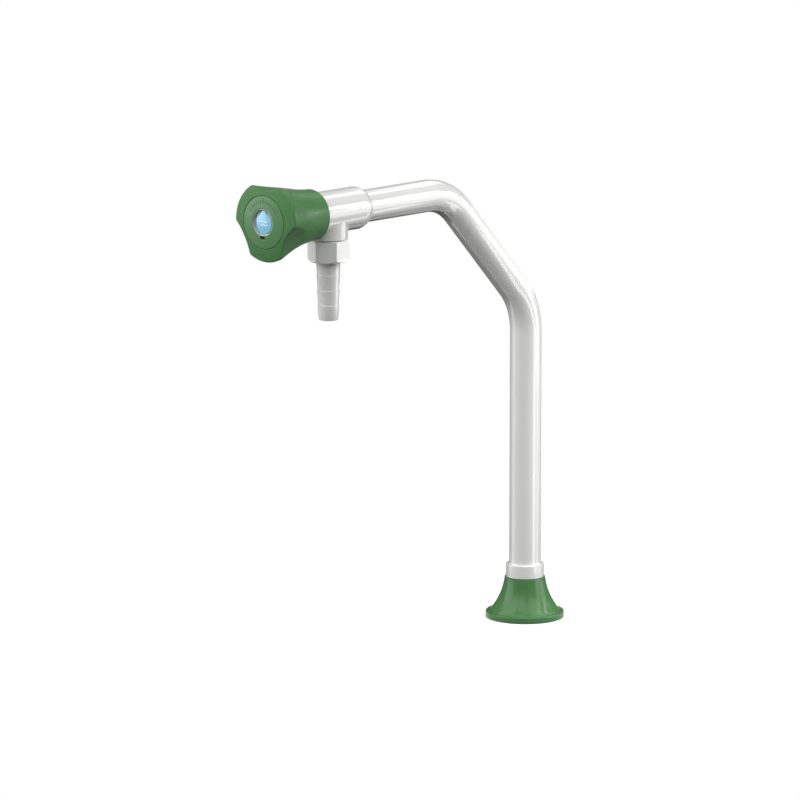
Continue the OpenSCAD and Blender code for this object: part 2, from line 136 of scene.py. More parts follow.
def piece(name, shape, place, material, body, slot, *nodes, crease=40):
    """Makes a mesh of points and faces in place, rides it on a body and lets it stand for CAD nodes."""
    points, faces = shape
    mesh = bpy.data.meshes.new(name)
    mesh.from_pydata([place @ Vector(point) for point in points], [], faces)
    shell = bmesh.new()
    shell.from_mesh(mesh)
    bmesh.ops.remove_doubles(shell, verts=shell.verts, dist=weld_gap * mm)
    bmesh.ops.dissolve_degenerate(shell, edges=shell.edges, dist=weld_gap * mm)
    bmesh.ops.recalc_face_normals(shell, faces=shell.faces)
    shell.to_mesh(mesh)
    shell.free()
    mesh.shade_smooth()
    mesh.set_sharp_from_angle(angle=math.radians(crease))
    mesh.materials.append(material)
    made = bpy.data.objects.new(name, mesh)
    bpy.context.scene.collection.objects.link(made)
    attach(made, body)
    if nodes:
        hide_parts(*nodes)


def noise(tree, place, size, detail, stretch=(1, 1, 1)):
    """A noise of patches that are size millimetres across, drawn out where stretch is under 1."""
    mapping = tree.nodes.new("ShaderNodeMapping")
    mapping.inputs["Scale"].default_value = stretch
    texture = tree.nodes.new("ShaderNodeTexNoise")
    texture.inputs["Scale"].default_value = 1 / (size * mm)
    texture.inputs["Detail"].default_value = detail
    tree.links.new(place.outputs["Object"], mapping.inputs["Vector"])
    tree.links.new(mapping.outputs["Vector"], texture.inputs["Vector"])
    return texture.outputs[0]


def finish(name, colour, shade, patch, gloss, grain, depth, stretch=(1, 1, 1), **sockets):
    """A surface whose colour and roughness drift over patches, with a fine grain of a given depth."""
    material = bpy.data.materials.new(name)
    material.use_nodes = True
    tree = material.node_tree
    shader = tree.nodes["Principled BSDF"]
    for socket, value in sockets.items():
        shader.inputs[socket.replace("_", " ")].default_value = value
    place = tree.nodes.new("ShaderNodeTexCoord")
    drift = noise(tree, place, patch, 4)
    tint = tree.nodes.new("ShaderNodeValToRGB")
    tint.color_ramp.elements[0].position = drift_low
    tint.color_ramp.elements[0].color = (*shade, 1)
    tint.color_ramp.elements[1].position = drift_high
    tint.color_ramp.elements[1].color = (*colour, 1)
    tree.links.new(drift, tint.inputs["Fac"])
    tree.links.new(tint.outputs["Color"], shader.inputs["Base Color"])
    sheen = tree.nodes.new("ShaderNodeMapRange")
    sheen.inputs["From Min"].default_value = drift_low
    sheen.inputs["From Max"].default_value = drift_high
    sheen.inputs["To Min"].default_value = gloss[0]
    sheen.inputs["To Max"].default_value = gloss[1]
    tree.links.new(noise(tree, place, grain * gloss_patch, 3, stretch), sheen.inputs["Value"])
    tree.links.new(sheen.outputs["Result"], shader.inputs["Roughness"])
    bump = tree.nodes.new("ShaderNodeBump")
    bump.inputs["Distance"].default_value = depth * mm
    tree.links.new(noise(tree, place, grain, 2, stretch), bump.inputs["Height"])
    tree.links.new(bump.outputs["Normal"], shader.inputs["Normal"])
    return material


white_coat = finish(
    "white_coat", (0.76, 0.76, 0.745), (0.735, 0.735, 0.72), 26, (0.12, 0.17), 1.4, 0.0002,
    Specular_IOR_Level=0.5, Coat_Weight=0.5, Coat_Roughness=0.11,
)


def foot_section(angle):
    return rounded([
        (shank_radius, 0, 0.3),
        (shank_radius, bell_height + cover_gap, 0.05),
        (collar_radius, bell_height + cover_gap, 0.25),
        (collar_radius, collar_top, collar_edge),
        *arc((tube_radius + seat_gap + braze_fillet, collar_top + braze_fillet), braze_fillet, 270, 180, 6),
        (tube_radius + seat_gap, tube_seat, 0),
        (water_way, tube_seat, 0.3),
        (water_way, socket_depth, 0.2),
        *thread(socket_radius, bench_thread, bench_pitch, socket_depth, 0, angle),
    ])


foot_shape = spun(foot_section, even_angles)
piece("foot_collar", foot_shape, upright, white_coat, "tap", "coated_white", "foot_body")


# Foot cover: a thin flared bell of green plastic, moulded in one shot, hollow underneath.
# It slips over the shank, the collar holds it down, and its rim stands on the bench.
bell_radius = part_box("base_bell")[1].x / mm
rim_height = 4
bell_wall = 2
flank_centre = (bell_radius + 28.3, rim_height + 26.7)
flank_radius = 40.7
flank_foot = 219.2
flank_top = 186.7
hollow_foot = 224
hollow_top = 189.4
hollow_step = 2.1
rim_inner = 22.1
rim_rounding = 0.9
mouth_radius = 12.82

bell_green = finish(
    "bell_green", (0.080, 0.208, 0.075), (0.073, 0.195, 0.068), 14, (0.17, 0.22), 0.9, 0.002,
    Specular_IOR_Level=0.2,
)


def bell_section(angle):
    inner = flank_radius + bell_wall
    return rounded([
        (bell_radius - bell_wall, 0, 0.2),
        (bell_radius, 0, 0.4),
        (bell_radius, rim_height, rim_rounding),
        (rim_inner, rim_height, rim_rounding),
        *arc(flank_centre, flank_radius, flank_foot, flank_top, 32),
        (mouth_radius, bell_height, 0.35),
        (shank_radius + seat_gap, bell_height, 0.2),
        (shank_radius + seat_gap, bell_height - bell_wall, 0.2),
        *arc(flank_centre, inner, hollow_top, hollow_foot, 24),
        (bell_radius - bell_wall, hollow_step, 0.3),
    ])


bell_shape = spun(bell_section, even_angles)
piece("foot_bell", bell_shape, upright, bell_green, "tap", "bell_plastic", "base_bell")


# Foot seal and plate: a rubber ring flush with the rim, and the steel plate pressed on the shank above it.
# They carry the tap on the bench, and show only from below. Their solids stay as they are.
rubber = finish(
    "rubber", (0.022, 0.022, 0.023), (0.012, 0.012, 0.013), 3, (0.62, 0.82), 0.5, 0.02,
    Specular_IOR_Level=0.35,
)
steel = finish(
    "turned_steel", (0.56, 0.57, 0.58), (0.42, 0.43, 0.45), 4, (0.26, 0.44), 0.35, 0.006, (0.05, 1, 0.05),
    Metallic=1.0,
)


def dress(material, *nodes):
    """Gives a finish to CAD solids that stay in view."""
    for node in nodes:
        slots = frame["nodes"][node].data.materials
        slots.clear()
        slots.append(material)


dress(rubber, "base_gasket", "bonnet_gasket", "seat_seal", "spindle_orings", "nozzle_gasket")
dress(steel, "foot_plate", "spindle_clip", "screw_washer", "handwheel_screw")


# Neck: one drawn brass tube, bent twice through 45 degrees and coated white after brazing.
# It runs up from the foot body, slants forwards and ends level, inside the valve body.
outlet = Vector(frame["joints"][0]["pos_m"]) / mm
tube_wall = 1.5
bore_radius = tube_radius - tube_wall
slant = math.radians(45)
bend_radius = 45
slant_run = 79
arm_height = outlet.z
bend_reach = bend_radius * math.tan(slant / 2)
column_top = arm_height - slant_run - bend_reach
arm_start = -slant_run - bend_reach
tube_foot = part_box("neck_tube")[0].z / mm
tube_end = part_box("neck_tube")[0].y / mm
bend_steps = 28
column_steps = 20
arm_steps = 10


def bend_points(centre_y, centre_z, start):
    """Centre line of one bend, as places and headings, from a first heading to 45 degrees on."""
    turns = [start + slant * step / bend_steps for step in range(bend_steps + 1)]
    return [(centre_y + bend_radius * math.cos(t), centre_z + bend_radius * math.sin(t), t) for t in turns]


def tube_route():
    route = [
        (0, tube_foot + (column_top - tube_foot) * step / column_steps, 0)
        for step in range(column_steps)
    ]
    route += bend_points(-bend_radius, column_top, 0)
    route += bend_points(arm_start, arm_height - bend_radius, slant)
    route += [
        (arm_start + (tube_end - arm_start) * step / arm_steps, arm_height, 2 * slant)
        for step in range(1, arm_steps + 1)
    ]
    return route


def swept(route, outer, inner):
    """Points and faces of an open-ended tube along a route in the plane of Y and Z."""
    walls = [(y, z, heading, outer) for y, z, heading in route]
    walls += [(y, z, heading, inner) for y, z, heading in reversed(route)]
    points = []
    for y, z, heading, radius in walls:
        for angle in even_angles:
            across = radius * math.cos(angle)
            out = radius * math.sin(angle)
            points.append((across, y + out * math.cos(heading), z + out * math.sin(heading)))
    count = len(even_angles)
    faces = []
    for ring in range(len(walls)):
        here = ring * count
        there = (ring + 1) % len(walls) * count
        for column in range(count):
            beside = (column + 1) % count
            faces.append((here + column, here + beside, there + beside, there + column))
    return points, faces


neck_shape = swept(tube_route(), tube_radius, bore_radius)
piece("neck", neck_shape, upright, white_coat, "tap", "coated_white", "neck_tube")


# Valve body: a brass casting turned to a barrel with a domed back and an outlet boss, coated white.
# The arm is brazed into its back, and a cast fillet runs where the boss leaves the barrel.
along_arm = Matrix.Translation(outlet * mm) @ Matrix.Rotation(math.radians(90), 4, "X") @ upright
barrel_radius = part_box("valve_body")[1].x / mm
barrel_front = 18.5
dome_centre = -21.1
dome_radius = 13.3
dome_back = 37.8
dome_front = 10.2
dome_lip = tube_radius + 0.5
tube_socket = -16
seat_bore = 5
seat_face = -8
chamber_radius = 9
boss_radius = 12
boss_drop = 16.4
boss_fillet = 1.5
boss_edge = 0.8
boss_steps = 4
outlet_thread = 8.25
outlet_depth = 0.9
thread_relief = 0.4
thread_tip = 0.5
outlet_end = 24.5
outlet_bore = 5
outlet_blind = 11
web_half_angle = math.radians(96)
web_half_length = 15.6
web_columns = 192
web_rings = 14
fillet_steps = 8


def barrel_rows():
    """The barrel's closed section as (radius, distance outwards), evenly spaced beside the boss."""
    side = web_columns // 4
    beside = [web_half_length * (2 * step / side - 1) for step in range(side + 1)]
    dome = arc((0, dome_centre), dome_radius, 360 - dome_back, 360 - dome_front, 12)
    rows = rounded([
        (tube_radius + seat_gap, tube_socket, 0),
        (tube_radius + seat_gap, dome[0][1], 0.15),
        (dome_lip, dome[0][1] - 0.02, 0.2),
        *dome,
        (barrel_radius, dome_centre + 0.4, 0.8),
        *[(barrel_radius, distance, 0) for distance in beside],
        (barrel_radius, barrel_front, 0.4),
        (chamber_radius, barrel_front, 0.2),
        (chamber_radius, seat_face, 0),
        (seat_bore, seat_face, 0.2),
        (seat_bore, tube_socket, 0.2),
    ])
    first = next(i for i, row in enumerate(rows) if abs(row[1] - beside[0]) < 1e-4 and row[0] > dome_lip)
    return rows, first, first + side


def barrel_angles():
    """Angles round the barrel from straight down, evenly spaced across the web and then over the top."""
    side = web_columns // 4
    under = [web_half_angle * (2 * step / side - 1) for step in range(side + 1)]
    over = 2 * math.pi - 2 * web_half_angle
    return under + [web_half_angle + over * step / side for step in range(1, side)], side


def valve_shape():
    points, faces = [], []

    def add(x, up, out):
        points.append((x, up, out))
        return len(points) - 1

    def bridge(first, second):
        for column in range(len(first)):
            beside = (column + 1) % len(first)
            faces.append((first[column], first[beside], second[beside], second[column]))

    rows, low, high = barrel_rows()
    angles, side = barrel_angles()
    grid = {}
    for row, (radius, out) in enumerate(rows):
        for column, angle in enumerate(angles):
            if low < row < high and 0 < column < side:
                continue
            grid[row, column] = add(radius * math.sin(angle), -radius * math.cos(angle), out)
    for row in range(len(rows)):
        for column in range(len(angles)):
            above, beside = (row + 1) % len(rows), (column + 1) % len(angles)
            if low <= row < high and column < side:
                continue
            faces.append((grid[row, column], grid[row, beside], grid[above, beside], grid[above, column]))
    edge = [(high, side - step) for step in range(side)] + [(high - step, 0) for step in range(side)]
    edge += [(low, step) for step in range(side)] + [(low + step, side) for step in range(side)]
    ring = [grid[key] for key in edge]
    around = [math.radians(45 + 360 * step / web_columns) for step in range(web_columns)]
    ball = boss_radius + boss_fillet
    reach = barrel_radius + boss_fillet
    for step in range(1, web_rings + 1):
        share = (step / web_rings) ** 0.8
        inner = []
        for (row, column), turn in zip(edge, around):
            angle = angles[column] * (1 - share) + math.asin(ball * math.cos(turn) / reach) * share
            out = rows[row][1] * (1 - share) + ball * math.sin(turn) * share
            inner.append(add(barrel_radius * math.sin(angle), -barrel_radius * math.cos(angle), out))
        bridge(ring, inner)
        ring = inner
    for step in range(1, fillet_steps + 1):
        inner = []
        for turn in around:
            x = ball * math.cos(turn)
            drop = -math.sqrt(reach ** 2 - x ** 2)
            centre = Vector((x, drop, ball * math.sin(turn)))
            to_barrel = Vector((-x, -drop, 0)).normalized()
            to_boss = Vector((-math.cos(turn), 0, -math.sin(turn)))
            way = to_barrel.slerp(to_boss, step / fillet_steps)
            inner.append(add(*(centre + way * boss_fillet)))
        bridge(ring, inner)
        ring = inner
    starts = [points[index][1] for index in ring]
    level = -boss_drop + boss_edge
    for step in range(1, boss_steps + 1):
        inner = []
        for turn, start in zip(around, starts):
            up = start + (level - start) * step / boss_steps
            inner.append(add(boss_radius * math.cos(turn), up, boss_radius * math.sin(turn)))
        bridge(ring, inner)
        ring = inner

    def outlet_section(angle):
        closed = rounded([
            (boss_radius, level, 0),
            (boss_radius, -boss_drop, 0.6),
            (outlet_thread, -boss_drop, 0.3),
            *thread(
                outlet_thread - outlet_depth, outlet_depth, bench_pitch,
                -boss_drop - thread_relief, -outlet_end + thread_tip, angle,
            ),
            (outlet_thread - 1.2, -outlet_end, 0.2),
            (outlet_bore, -outlet_end, 0.3),
            (outlet_bore, -outlet_blind, 0),
            (outlet_bore / 2, -outlet_blind, 0),
        ])
        return closed[1:]

    sections = [outlet_section(turn) for turn in around]
    for row in range(len(sections[0])):
        inner = [
            add(section[row][0] * math.cos(turn), section[row][1], section[row][0] * math.sin(turn))
            for section, turn in zip(sections, around)
        ]
        bridge(ring, inner)
        ring = inner
    faces.append(tuple(ring))
    return points, faces


piece("valve_barrel", valve_shape(), along_arm, white_coat, "tap", "coated_white", "valve_body")


# Headwork: brass turnings and a pair of lapped ceramic discs that shut and open the water.
# It screws into the barrel's front and turns inside the handwheel, so its solids stay as they are.
brass = finish(
    "turned_brass", (0.62, 0.43, 0.17), (0.47, 0.31, 0.11), 3, (0.22, 0.38), 0.3, 0.006, (0.05, 1, 0.05),
    Metallic=1.0,
)
ceramic = finish(
    "lapped_ceramic", (0.80, 0.77, 0.71), (0.74, 0.71, 0.65), 1.2, (0.10, 0.18), 0.12, 0.001,
    Specular_IOR_Level=0.6,
)
dress(brass, "bonnet", "spindle", "stop_ring", "drive_insert")
dress(ceramic, "fixed_disc", "moving_disc")


# Handwheel: a solid moulding of green plastic with three lobes, three finger hollows and a domed face.
# It covers the headwork, and its brass insert is screwed down on the spindle's square.
back_offset = 15.4
back_radius = 15.6
lobe_radius = 24.45
lobe_length = 39.1
flare_radius = 111
front_offset = 59
front_dome = 95
finger_radius = 29.1
finger_depth = 18.9
finger_angles = [math.radians(turn) for turn in (90, 210, 330)]
lobe_rounding = 0.9
lobe_edge = 1.2
hollow_edge = 0.55
seat_radius = 16.25
seat_rounding = 0.45
disc_back = 53.4
recess_radius = 11
insert_radius = 6.62
insert_front = 46
cavity_radius = 13.6
cavity_front = 35
side_rows = 40
face_steps = 8
wheel_steps = 360
wheel_angles = [2 * math.pi * step / wheel_steps for step in range(wheel_steps)]

wheel_green = finish(
    "wheel_green", (0.087, 0.216, 0.085), (0.080, 0.203, 0.078), 11, (0.24, 0.30), 0.7, 0.003,
    Specular_IOR_Level=0.04,
)


def dome_at(radius):
    """Distance outwards of the domed face, at a radius from the wheel's axis."""
    return front_offset - front_dome + math.sqrt(front_dome ** 2 - radius ** 2)


def flare_at(distance):
    """Radius of the lobes' hollow flare at a distance outwards, level past the lobes' front edge."""
    rise = lobe_radius - back_radius
    chord = math.hypot(rise, lobe_length)
    height = math.sqrt(flare_radius ** 2 - chord ** 2 / 4)
    centre_r = back_radius + rise / 2 + height * lobe_length / chord
    centre_w = back_offset + lobe_length / 2 - height * rise / chord
    along = min(distance, back_offset + lobe_length) - centre_w
    return centre_r - math.sqrt(flare_radius ** 2 - along ** 2)


def finger_at(angle):
    """Radius at which the nearest finger hollow cuts the wheel, in a direction from the axis."""
    off = min(abs((angle - turn + math.pi) % (2 * math.pi) - math.pi) for turn in finger_angles)
    far = finger_depth + finger_radius
    inside = finger_radius ** 2 - (far * math.sin(off)) ** 2
    if inside <= 0 or off > math.pi / 2:
        return 2 * lobe_radius
    return far * math.cos(off) - math.sqrt(inside)


def softer(first, second, blend):
    """The smaller of two radii, with the ridge between them rounded off."""
    share = max(0, min(1, 0.5 + 0.5 * (second - first) / blend))
    return second * (1 - share) + first * share - blend * share * (1 - share)


def wheel_section(angle):
    finger = finger_at(angle)
    rim = softer(lobe_radius, finger, lobe_rounding)
    front = dome_at(rim)
    lobe_share = min(1, max(0, finger - rim) / 2)
    edge = hollow_edge + (lobe_edge - hollow_edge) * lobe_share
    side = []
    for row in range(1, side_rows):
        distance = back_offset + (front - back_offset) * row / side_rows
        side.append((softer(flare_at(distance), finger, lobe_rounding), distance, 0))
    face = [rim + (seat_radius - rim) * step / face_steps for step in range(2, face_steps)]
    return rounded([
        (cavity_radius, back_offset, 0.5),
        (back_radius, back_offset, 0.4),
        *side[:-1],
        (rim, front, edge),
        *[(radius, dome_at(radius), 0) for radius in face],
        (seat_radius, dome_at(seat_radius), seat_rounding),
        (seat_radius, disc_back, 0.2),
        (recess_radius, disc_back, 0.2),
        (recess_radius, insert_front, 0.3),
        (insert_radius, insert_front, 0.1),
        (insert_radius, cavity_front, 0.2),
        (cavity_radius, cavity_front, 0.6),
    ])


wheel_shape = spun(wheel_section, wheel_angles)
piece("wheel", wheel_shape, along_arm, wheel_green, "handwheel", "handwheel_plastic", "handwheel")


# Index disc: a green plastic cap pressed into the wheel's face by its skirt, flush with the dome.
# It has a round window for the drop, a notch below it to pry the cap out and raised marks over it.
disc_radius = 16.1
disc_rounding = 0.45
disc_bore = 1.5
window_radius = 8.25
window_floor = 54.8
window_rounding = 0.3
notch_half_width = 1.8
notch_reach = 10.15
notch_floor = 56.4
skirt_radius = 10.9
skirt_wall = 1.4
skirt_depth = 3.2
notch_corner = math.atan(notch_half_width / notch_reach)
notch_edge = math.asin(notch_half_width / window_radius)
notch_angles = [notch_corner * step / 4 for step in range(5)]
notch_angles += [notch_corner + (notch_edge - notch_corner) * step / 4 for step in range(1, 5)]
plain_angles = [notch_edge + (math.pi - notch_edge) * step / 120 for step in range(1, 121)]
half_turn = notch_angles + plain_angles
down = -math.pi / 2
disc_angles = [down + turn for turn in half_turn]
disc_angles += [down + 2 * math.pi - turn for turn in reversed(half_turn[1:-1])]

disc_green = finish(
    "disc_green", (0.090, 0.220, 0.088), (0.083, 0.207, 0.081), 9, (0.26, 0.32), 0.7, 0.003,
    Specular_IOR_Level=0.2,
)


def disc_section(angle):
    off = abs((angle - down + math.pi) % (2 * math.pi) - math.pi)
    if off <= notch_corner:
        opening = notch_reach / math.cos(off)
    elif off <= notch_edge:
        opening = notch_half_width / math.sin(off)
    else:
        opening = window_radius
    face = [opening + (disc_radius - opening) * step / 12 for step in range(2, 11)]
    return rounded([
        (opening, dome_at(opening), window_rounding),
        *[(radius, dome_at(radius), 0) for radius in face],
        (disc_radius, dome_at(disc_radius), disc_rounding),
        (disc_radius, disc_back, 0.3),
        (skirt_radius, disc_back, 0.1),
        (skirt_radius, disc_back - skirt_depth, 0.2),
        (skirt_radius - skirt_wall, disc_back - skirt_depth, 0.2),
        (skirt_radius - skirt_wall, disc_back, 0.2),
        (disc_bore, disc_back, 0),
        (disc_bore, window_floor, 0),
        (window_radius, window_floor, 0.1),
        (window_radius, notch_floor, 0),
        (opening, notch_floor, 0),
    ])


cap_shape = spun(disc_section, disc_angles)
piece("cap", cap_shape, along_arm, disc_green, "handwheel", "disc_plastic", "index_disc")


mark_count = 15
mark_spread = math.radians(112)
mark_inner = 11.6
mark_half_width = 0.32
mark_height = 0.22
mark_slope = 0.12
mark_root = 0.3
mark_length = 1.9
long_mark = 2.8
long_mark_step = 7


def marks_shape():
    """Raised bars on the dome, in a row over the window, with longer ones at its ends and middle."""
    points, faces = [], []
    for mark in range(mark_count):
        turn = math.pi / 2 + mark_spread * (mark / (mark_count - 1) - 0.5)
        along = Vector((math.cos(turn), math.sin(turn)))
        across = Vector((-along.y, along.x))
        outer = mark_inner + (long_mark if mark % long_mark_step == 0 else mark_length)
        start = len(points)
        for lift, inset in ((-mark_root, 0), (mark_height * 0.6, 0), (mark_height, mark_slope)):
            near, far = mark_inner + inset, outer - inset
            for radius, side in ((near, -1), (far, -1), (far, 1), (near, 1)):
                spot = along * radius + across * side * (mark_half_width - inset)
                points.append((spot.x, spot.y, dome_at(spot.length) + lift))
        for level in (0, 4):
            for corner in range(4):
                beside = (corner + 1) % 4
                faces.append((start + level + corner, start + level + beside,
                              start + level + 4 + beside, start + level + 4 + corner))
        faces.append(tuple(start + corner for corner in (3, 2, 1, 0)))
        faces.append(tuple(start + 8 + corner for corner in range(4)))
    return points, faces


piece("cap_marks", marks_shape(), along_arm, disc_green, "handwheel", "disc_plastic", crease=30)


# Drop holder: a shallow round cup of grey plastic, pressed into the cap's window with its lip standing up.
# The blue drop is a plastic tag stuck on its floor, printed with plain waves.
holder_radius = 8.2
holder_lip = 58.4
holder_floor = 56.8
lip_radius = 7.7
holder_bore = 0.8

holder_grey = finish(
    "holder_grey", (0.40, 0.45, 0.40), (0.35, 0.40, 0.35), 2.5, (0.22, 0.30), 0.5, 0.003,
    Specular_IOR_Level=0.5, Coat_Weight=0.3, Coat_Roughness=0.1,
)


def holder_section(angle):
    return rounded([
        (holder_radius, window_floor, 0.1),
        (holder_radius, holder_lip, 0.2),
        (lip_radius, holder_lip, 0.3),
        (lip_radius, holder_floor, 0.35),
        (holder_bore, holder_floor, 0),
        (holder_bore, window_floor, 0),
    ])


cup_shape = spun(holder_section, even_angles)
piece("cup", cup_shape, along_arm, holder_grey, "handwheel", "holder_plastic", "drop_holder")


# Drop: a blue plastic tag in the shape of a water drop, cut from sheet with a softened edge.
# It is stuck on the holder's floor with its tip up.
drop_radius = 6.2
drop_sink = 0.6
tip_radius = 1.7
tip_centre = 5.8
shoulder_radius = 4
drop_back = 56.8
drop_front = 57.4
drop_edge = 0.25

drop_blue = finish(
    "drop_blue", (0.23, 0.56, 0.80), (0.20, 0.52, 0.77), 1.8, (0.22, 0.30), 0.4, 0.002,
    Specular_IOR_Level=0.5, Coat_Weight=0.3, Coat_Roughness=0.08,
)


def drop_outline(inset):
    """The drop's outline, drawn in by an inset: a round end, two hollow shoulders and a round tip."""
    span = tip_centre + drop_sink
    to_end = drop_radius + shoulder_radius
    to_tip = tip_radius + shoulder_radius
    rise = (to_end ** 2 - to_tip ** 2 + span ** 2) / (2 * span)
    side = math.sqrt(to_end ** 2 - rise ** 2)
    low = math.degrees(math.atan2(rise, side))
    high = math.degrees(math.atan2(rise - span, side))
    right = arc((0, -drop_sink), drop_radius - inset, -90, low, 36)
    right += arc((side, rise - drop_sink), shoulder_radius + inset, 180 + low, 180 + high, 10)[1:]
    right += arc((0, tip_centre), tip_radius - inset, high, 90, 10)[1:]
    return [(x, y) for x, y, _ in right] + [(-x, y) for x, y, _ in reversed(right[1:-1])]


def drop_shape():
    levels = [
        (0, drop_back),
        (0, drop_front - drop_edge),
        (drop_edge * 0.3, drop_front - drop_edge * 0.3),
        (drop_edge, drop_front),
    ]
    outlines = [[(x, y, out) for x, y in drop_outline(inset)] for inset, out in levels]
    count = len(outlines[0])
    points = [point for outline in outlines for point in outline]
    faces = []
    for level in range(len(levels) - 1):
        for spot in range(count):
            beside = (spot + 1) % count
            faces.append((level * count + spot, level * count + beside,
                          (level + 1) * count + beside, (level + 1) * count + spot))
    faces.append(tuple(reversed(range(count))))
    faces.append(tuple(range((len(levels) - 1) * count, len(levels) * count)))
    return points, faces


piece("drop", drop_shape(), along_arm, drop_blue, "handwheel", "drop_plastic", "drop_tag", crease=50)


# Waves: two plain wavy lines printed in white on the drop, a thin raised film of ink.
# They mark cold water.
wave_half_length = 3.6
wave_lift = 0.9
wave_half_width = 0.34
wave_levels = (0.4, -1.5)
ink_height = 0.05
ink_root = 0.05

wave_ink = finish(
    "white_ink", (0.83, 0.84, 0.84), (0.78, 0.80, 0.80), 1.0, (0.38, 0.46), 0.3, 0.002,
    Specular_IOR_Level=0.4,
)


def waves_shape():
    points, faces = [], []
    steps = 40
    for level in wave_levels:
        start = len(points)
        for step in range(steps + 1):
            x = wave_half_length * (2 * step / steps - 1)
            y = level + wave_lift * 0.5 * math.cos(x / wave_half_length * 2 * math.pi)
            half = wave_half_width * min(1, 0.35 + 3 * (1 - abs(2 * step / steps - 1)))
            for side, out in ((-1, -ink_root), (1, -ink_root), (0.75, ink_height), (-0.75, ink_height)):
                points.append((x, y + side * half, drop_front + out))
        for step in range(steps):
            for corner in range(4):
                here = start + step * 4
                beside = (corner + 1) % 4
                faces.append((here + corner, here + beside, here + 4 + beside, here + 4 + corner))
        faces.append(tuple(start + corner for corner in (3, 2, 1, 0)))
        faces.append(tuple(start + steps * 4 + corner for corner in range(4)))
    return points, faces


piece("drop_waves", waves_shape(), along_arm, wave_ink, "handwheel", "drop_plastic")


# Union nut: a hexagon of brass with its corners turned off top and bottom, coated white.
# It screws up on the outlet's thread and pulls the nozzle's flange against its seal.
below_arm = Matrix.Translation(outlet * mm) @ Matrix.Rotation(math.radians(180), 4, "X") @ upright
nut_half = 11
nut_top = 16.6
nut_bottom = 30.2
nut_turn = math.radians(90 - 5.7)
nut_corner = 0.5
nut_lip = 1.5
nozzle_room = 7.6
top_inset = 0.1
top_slope = 0.571
bottom_inset = 0.3
bottom_slope = 0.783
nut_steps = 360
nut_angles = [2 * math.pi * step / nut_steps for step in range(nut_steps)]

fitting_coat = finish(
    "fitting_coat", (0.75, 0.75, 0.735), (0.72, 0.72, 0.705), 12, (0.12, 0.17), 1.2, 0.0002,
    Specular_IOR_Level=0.5, Coat_Weight=0.5, Coat_Roughness=0.11,
)


def hexagon_at(angle):
    """Radius of a hexagon with rounded corners, in a direction from its axis."""
    sixth = math.pi / 3
    off = abs((angle - nut_turn + sixth / 2) % sixth - sixth / 2)
    middle = sixth / 2 - off
    flat_end = math.atan((nut_half - nut_corner) * math.tan(math.pi / 6) / nut_half)
    if middle <= flat_end:
        return nut_half / math.cos(middle)
    far = (nut_half - nut_corner) / math.cos(math.pi / 6)
    return far * math.cos(off) + math.sqrt(nut_corner ** 2 - (far * math.sin(off)) ** 2)


def nut_section(angle):
    side = hexagon_at(angle)
    top_edge = nut_half - top_inset
    bottom_edge = nut_half - bottom_inset
    return rounded([
        (top_edge, nut_top, 0.25),
        (side, nut_top + (side - top_edge) * top_slope, 0.35),
        (side, nut_bottom - (side - bottom_edge) * bottom_slope, 0.35),
        (bottom_edge, nut_bottom, 0.25),
        (nozzle_room, nut_bottom, 0.3),
        (nozzle_room, nut_bottom - nut_lip, 0.1),
        (outlet_thread + seat_gap, nut_bottom - nut_lip, 0.1),
        (outlet_thread + seat_gap, nut_top, 0.4),
    ])


nut_shape = spun(nut_section, nut_angles)
piece("nut", nut_shape, below_arm, fitting_coat, "tap", "coated_fitting", "union_nut")


# Hose nozzle: a brass turning with a flange in the nut and four barbs that taper down, coated white.
# A hose is pushed over the barbs, and the water leaves through the bore.
nozzle_radius = 7.45
nozzle_bore = 4.4
nozzle_flange = 26.5
flange_radius = 8.1
flange_height = 2.15
first_barb = 8
barb_length = 9.25
barb_taper = 0.7
barb_step = 0.4
barb_flare = 0.15
barb_count = 4


def nozzle_section(angle):
    corners = [
        (nozzle_bore, nozzle_flange, 0.2),
        (flange_radius, nozzle_flange, 0.2),
        (flange_radius, nozzle_flange + flange_height, 0.1),
        (nozzle_radius, nozzle_flange + flange_height, 0.1),
        (nozzle_radius - barb_taper + barb_flare, nut_bottom + first_barb, 0.2),
    ]
    for barb in range(1, barb_count):
        top = nut_bottom + first_barb + (barb - 1) * barb_length
        start = nozzle_radius - barb * (barb_taper - barb_step)
        corners.append((start, top + 0.05, 0.22))
        corners.append((start - barb_taper, top + barb_length, 0.2 if barb < barb_count - 1 else 0.6))
    mouth = nut_bottom + first_barb + (barb_count - 1) * barb_length
    return rounded(corners + [(nozzle_bore, mouth, 0.35)])


nozzle_shape = spun(nozzle_section, even_angles)
piece("nozzle", nozzle_shape, below_arm, fitting_coat, "tap", "coated_fitting", "hose_nozzle")


# Studio: white paper under the tap, a white wall low down behind it, and a dim room with soft boxes.
# The paper keeps the tap's shadow close by, throws little light back and is plain white further off.
# Two dark screens beside the tap show only in its reflections, and draw its edges against the white.
floor_half = 8
floor_sink = 0.0002
floor_mesh = bpy.data.meshes.new("floor")
floor_mesh.from_pydata(
    [(floor_half * x, floor_half * y, 0) for x, y in ((-1, -1), (1, -1), (1, 1), (-1, 1))],
    [], [(0, 1, 2, 3)],
)
floor = bpy.data.objects.new("floor", floor_mesh)
floor.location.z = -floor_sink
bpy.context.scene.collection.objects.link(floor)


def seen_rays(tree):
    """1 for the rays that show the background: from the camera, off a gloss and through glass."""
    path = tree.nodes.new("ShaderNodeLightPath")
    seen = path.outputs["Is Camera Ray"]
    for ray in ("Is Glossy Ray", "Is Transmission Ray"):
        larger = tree.nodes.new("ShaderNodeMath")
        larger.operation = "MAXIMUM"
        tree.links.new(seen, larger.inputs[0])
        tree.links.new(path.outputs[ray], larger.inputs[1])
        seen = larger.outputs[0]
    return seen


bench_shade = 0.05
paper_shade = 0.90
paper_lift = 0.22
shadow_near = 0.04
shadow_far = 0.25

